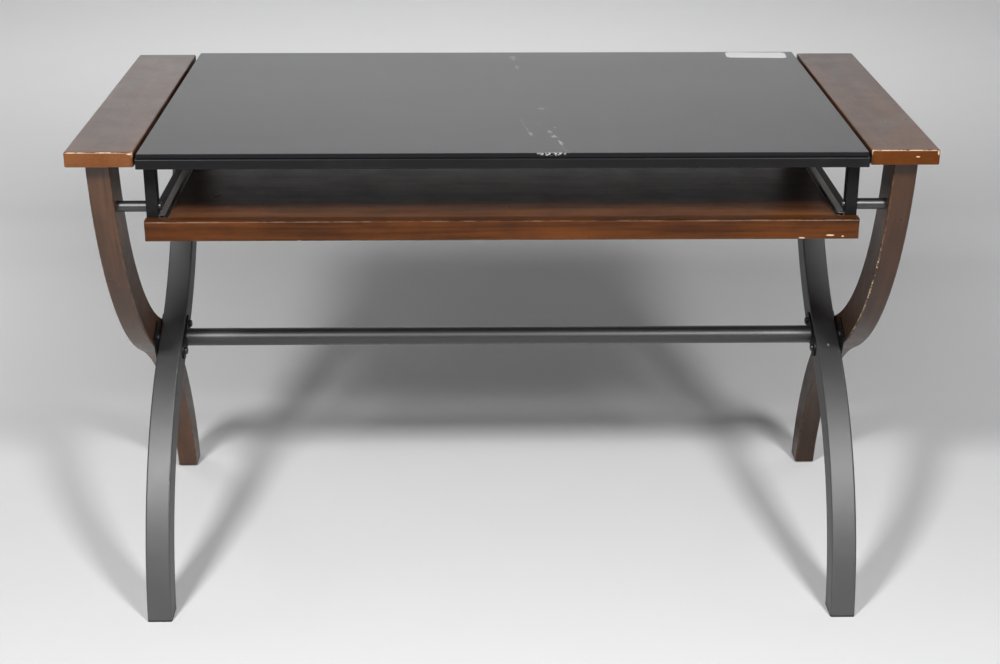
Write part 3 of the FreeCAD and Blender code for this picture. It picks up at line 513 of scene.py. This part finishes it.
def label_paper():
    """White coated paper, slightly rubbed and yellowed."""
    finish = Finish("label_paper")
    fibre = finish.noise(finish.place, 1500.0, 3.0)
    age = finish.noise(finish.place, 60.0, 3.0)
    colour = finish.mix(age.ramp(0.4, 0.8), LABEL_WHITE, LABEL_YELLOWED)
    return finish.end(colour=colour, roughness=fibre * 0.15 + 0.4,
                      normal=finish.bump(fibre, 0.00003))


def studio_paper():
    """Seamless pale floor and backdrop."""
    finish = Finish("studio_paper")
    fibre = finish.noise(finish.place, 5.0, 3.0)
    colour = finish.mix(fibre, STUDIO_GREY, STUDIO_PALE)
    return finish.end(colour=colour, roughness=0.85)


# Pieces made here

def closed_surface(name, rings, joined):
    """Piece from rings of points.  Each ring is closed and meets the next one; the last meets the
    first where joined, and otherwise a middle point closes each end."""
    count, around = rings.shape[:2]
    corners = np.arange(count * around).reshape(count, around)
    first = corners if joined else corners[:-1]
    second = np.roll(corners, -1, 0) if joined else corners[1:]
    faces = np.stack([first, np.roll(first, -1, 1), np.roll(second, -1, 1), second], -1)
    points = rings.reshape(-1, 3)
    faces = faces.reshape(-1, 4).tolist()
    if not joined:
        points = np.vstack([points, rings[0].mean(0), rings[-1].mean(0)])
        for ring, middle in ((corners[0], count * around), (corners[-1], count * around + 1)):
            fan = np.stack([ring, np.roll(ring, -1), np.full(around, middle)], -1)
            faces += fan.tolist()
    mesh = bpy.data.meshes.new(name)
    mesh.from_pydata(points.tolist(), [], faces)
    shape = bmesh.new()
    shape.from_mesh(mesh)
    bmesh.ops.recalc_face_normals(shape, faces=shape.faces)
    shape.to_mesh(mesh)
    shape.free()
    mesh.shade_smooth()
    piece = bpy.data.objects.new(name, mesh)
    bpy.context.scene.collection.objects.link(piece)
    return piece


def rounded_outline(half_x, half_y, corner, steps):
    """Points round a rectangle with round corners: each corner's quarter circle, one by one."""
    arcs = []
    for quarter, (side_x, side_y) in enumerate(((1, 1), (-1, 1), (-1, -1), (1, -1))):
        turn = np.linspace(0, math.pi / 2, steps) + quarter * math.pi / 2
        arcs.append(np.stack([side_x * (half_x - corner) + corner * np.cos(turn),
                              side_y * (half_y - corner) + corner * np.sin(turn)], -1))
    return np.concatenate(arcs)


def evenly_round(outline, count):
    """The same closed outline as count points, equally far apart along it."""
    closed = np.vstack([outline, outline[:1]])
    lengths = np.r_[0, np.cumsum(np.linalg.norm(np.diff(closed, axis=0), axis=1))]
    places = np.linspace(0, lengths[-1], count, endpoint=False)
    return np.stack([np.interp(places, lengths, closed[:, axis]) for axis in (0, 1)], -1)


def label():
    """Blank label: the outline shrunk towards its middle, up over a thin edge, with one corner
    lifted by the square of how far a point lies towards it."""
    outline = evenly_round(rounded_outline(LABEL_HALF_X, LABEL_HALF_Y, LABEL_CORNER, 12), 160)
    shares = np.array([0.25, 0.6, 0.9, 1.0, 1.0, 0.992, 0.9, 0.6, 0.25])
    heights = np.array([0, 0, 0, 0, 0.75, 1, 1, 1, 1]) * LABEL_THICKNESS
    flat = shares[:, None, None] * outline[None]
    corner = (flat[..., 0] / LABEL_HALF_X + flat[..., 1] / LABEL_HALF_Y) / 2
    lift = LABEL_CORNER_LIFT * np.clip(corner - 0.55, 0, 1) ** 2
    cosine, sine = math.cos(LABEL_TURN), math.sin(LABEL_TURN)
    x = LABEL_MIDDLE[0] + flat[..., 0] * cosine - flat[..., 1] * sine
    y = LABEL_MIDDLE[1] + flat[..., 0] * sine + flat[..., 1] * cosine
    z = SLAB_TOP + LABEL_CLEARANCE + heights[:, None] + lift
    piece = closed_surface("blank_label", np.stack([x, y, z], -1), False)
    piece.data.materials.append(label_paper())
    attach(piece, "desk")


def weld_bead(path, normals, radius, ripples):
    """Bead round a closed path: a small circle carried along it, whose radius swells and shrinks
    by a tenth with each ripple.  normals point out of the joint at each point of the path."""
    count = len(path)
    lap = np.linspace(0, 2 * math.pi, count, endpoint=False)
    turn = np.linspace(0, 2 * math.pi, 12, endpoint=False)
    axis = np.cross(normals, np.roll(path, -1, 0) - np.roll(path, 1, 0))
    axis /= np.linalg.norm(axis, axis=1)[:, None]
    swell = radius * (1 + 0.1 * np.sin(ripples * lap))
    circle = (np.cos(turn)[None, :, None] * normals[:, None] +
              np.sin(turn)[None, :, None] * axis[:, None])
    return path[:, None] + swell[:, None, None] * circle


def bead_piece(name, path, out, bead):
    """Weld bead of the given radius and ripples, in the frame's coat."""
    piece = closed_surface(name, weld_bead(path, out, *bead), True)
    piece.data.materials.append(COAT)
    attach(piece, "desk")


def stretcher_beads():
    """Rings where the stretcher meets its end plates."""
    low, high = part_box("stretcher_tube")
    radius = (high.y - low.y) / 2
    middle_y, middle_z = (low.y + high.y) / 2, (low.z + high.z) / 2
    turn = np.linspace(0, 2 * math.pi, 240, endpoint=False)
    out = np.stack([np.zeros(turn.size), np.cos(turn), np.sin(turn)], -1)
    for side, x in (("left", low.x), ("right", high.x)):
        path = out * radius + np.array([x, middle_y, middle_z])
        bead_piece(side + "_stretcher_weld", path, out, STRETCHER_BEAD)


def hanger_beads():
    """Beads where the four hangers meet the frame's side rails.  Outwards is the way from the
    hanger's outline to the same point of a slightly wider one."""
    wider = 0.001
    for name in ("left_front_hanger", "right_front_hanger",
                 "left_rear_hanger", "right_rear_hanger"):
        low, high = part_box(name)
        half = (high.x - low.x) / 2
        middle = np.array([(low.x + high.x) / 2, (low.y + high.y) / 2, high.z])
        flat = evenly_round(rounded_outline(half, half, HANGER_CORNER, 8), 320)
        wide = evenly_round(rounded_outline(half + wider, half + wider, HANGER_CORNER + wider, 8),
                            320)
        out = np.c_[wide - flat, np.zeros(len(flat))]
        out /= np.linalg.norm(out, axis=1)[:, None]
        path = np.c_[flat, np.zeros(len(flat))] + middle
        bead_piece(name + "_weld", path, out, HANGER_BEAD)


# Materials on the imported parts

COAT = powder_coat("frame_coat", COAT_BLACK, COAT_GREY, 0.5, 0.38, 0.15)
TUBE_COAT = powder_coat("tube_coat", TUBE_BLACK, TUBE_GREY, 0.35, 0.42, 0.55, ior=1.68)
BY_SLOT = {
    "lacquered_wood": walnut("walnut_tray_board", tray_grain, BOARD_STAIN, gloss=0.18),
    "black_glass": slab_glass(),
    "black_powder_coat": COAT,
    "black_steel": black_oxide(),
    "zinc_steel": zinc_plate(),
    "polished_steel": bearing_steel(),
    "black_plastic": moulded("black_plastic", PLASTIC_BLACK, PLASTIC_DUSTY, 0.5),
    "black_rubber": moulded("black_rubber", RUBBER_BLACK, RUBBER_DUSTY, 0.75),
    "white_plastic": moulded("white_plastic", PLASTIC_WHITE, PLASTIC_PALE, 0.45),
    "beech": beech(),
}
BY_NODE = {
    "left_end_panel": walnut("walnut_left_panel", panel_grain, PANEL_TOP,
                             front=LEFT_END_STAIN, polish=0.84, chips=PANEL_CHIPS),
    # The right end's front colour is darkened as painted shade.
    "right_end_panel": walnut("walnut_right_panel_painted_shade", panel_grain, PANEL_TOP,
                              front=RIGHT_END_STAIN_AND_PAINTED_SHADE, gloss=0.2, polish=0.6, chips=PANEL_CHIPS),
    "tray_front_rail": walnut("walnut_tray_front", tray_grain, TRAY_STAIN, gloss=0.2,
                              chips=TRAY_CHIPS),
    "left_wood_leg": walnut("walnut_left_leg", curved_leg_grain, LEFT_LEG_STAIN, gloss=0.5),
    # The right leg's stain is darkened as painted shade.
    "right_wood_leg": walnut("walnut_right_leg_painted_shade", curved_leg_grain, RIGHT_LEG_STAIN_AND_PAINTED_SHADE, gloss=0.4,
                             chips=RIGHT_LEG_WEAR),
    "left_metal_leg": powder_coat("leg_coat", LEG_BLACK, LEG_GREY, 1.0, 0.54, 0.55, ior=2.0),
    "right_metal_leg": powder_coat("right_leg_coat", LEG_BLACK, LEG_GREY, 1.0, 0.54, 0.55,
                                   ior=2.0, marks=LEG_MARKS),
    "tie_tubes": TUBE_COAT,
    "stretcher_tube": TUBE_COAT,
}
for part in frame["record"]["subparts"]:
    materials = nodes[part["node"]].data.materials
    materials.clear()
    materials.append(BY_NODE.get(part["node"], BY_SLOT[part["material_slot"]]))

label()
stretcher_beads()
hanger_beads()


# Studio

def backdrop():
    """Oval studio: a level floor that curves up into a wall, its profile (a level run, a quarter
    circle and an upright run) turned round Z and stretched 1.5 times along X."""
    radius, start, wall, stretch = 1.6, 4.8, 5.5, 1.5
    bend = np.linspace(0, math.pi / 2, 40)
    level = np.linspace(0, start, 12)[1:]
    away = np.r_[level, start + radius * np.sin(bend), start + radius]
    z = np.r_[np.zeros(level.size), radius - radius * np.cos(bend), wall]
    turn = np.linspace(0, 2 * math.pi, 180, endpoint=False)
    points = np.stack([stretch * away * np.cos(turn)[:, None], away * np.sin(turn)[:, None],
                       np.broadcast_to(z, (turn.size, z.size))], -1)
    corners = np.arange(points[..., 0].size).reshape(points.shape[:2])
    after = np.roll(corners, -1, 0)
    sweep = np.stack([corners[:, :-1], corners[:, 1:], after[:, 1:], after[:, :-1]], -1)
    points = np.vstack([points.reshape(-1, 3), [[0, 0, 0]]])
    middle = np.full(turn.size, len(points) - 1)
    fan = np.stack([middle, corners[:, 0], after[:, 0]], -1)
    faces = sweep.reshape(-1, 4).tolist() + fan.tolist()
    mesh = bpy.data.meshes.new("studio_floor")
    mesh.from_pydata(points.tolist(), [], faces)
    mesh.shade_smooth()
    mesh.materials.append(studio_paper())
    floor = bpy.data.objects.new("studio_floor", mesh)
    bpy.context.scene.collection.objects.link(floor)


def softbox(name, place, target, width, height, power, spread):
    """Rectangular lamp at place, turned to face target and hidden from the camera."""
    light = bpy.data.lights.new(name, "AREA")
    light.shape = "RECTANGLE"
    light.size = width
    light.size_y = height
    light.energy = power
    light.spread = math.radians(spread)
    lamp = bpy.data.objects.new(name, light)
    lamp.location = place
    lamp.visible_camera = False
    lamp.rotation_euler = (Vector(target) - Vector(place)).to_track_quat("-Z", "Y").to_euler()
    bpy.context.scene.collection.objects.link(lamp)


def camera():
    """Looks along yaw and pitch from its place, turned by roll about that line."""
    forward = Vector((math.sin(YAW) * math.cos(PITCH), math.cos(YAW) * math.cos(PITCH),
                      -math.sin(PITCH)))
    right = Vector((math.cos(YAW), -math.sin(YAW), 0))
    up = right.cross(forward)
    right, up = (right * math.cos(ROLL) + up * math.sin(ROLL),
                 up * math.cos(ROLL) - right * math.sin(ROLL))
    data = bpy.data.cameras.new("camera")
    data.lens = LENS
    view = bpy.data.objects.new("camera", data)
    turn = Matrix((right, up, -forward)).transposed().to_4x4()
    view.matrix_world = Matrix.Translation(CAMERA_PLACE) @ turn
    bpy.context.scene.collection.objects.link(view)
    bpy.context.scene.camera = view


backdrop()
camera()
for lamp_name, settings in LAMPS.items():
    softbox(lamp_name, *settings)
world = bpy.data.worlds.new("studio")
world.use_nodes = True
world.node_tree.nodes["Background"].inputs["Color"].default_value = (1, 1, 1, 1)
world.node_tree.nodes["Background"].inputs["Strength"].default_value = ROOM_LIGHT
bpy.context.scene.world = world
bpy.context.scene.view_settings.view_transform = "Standard"
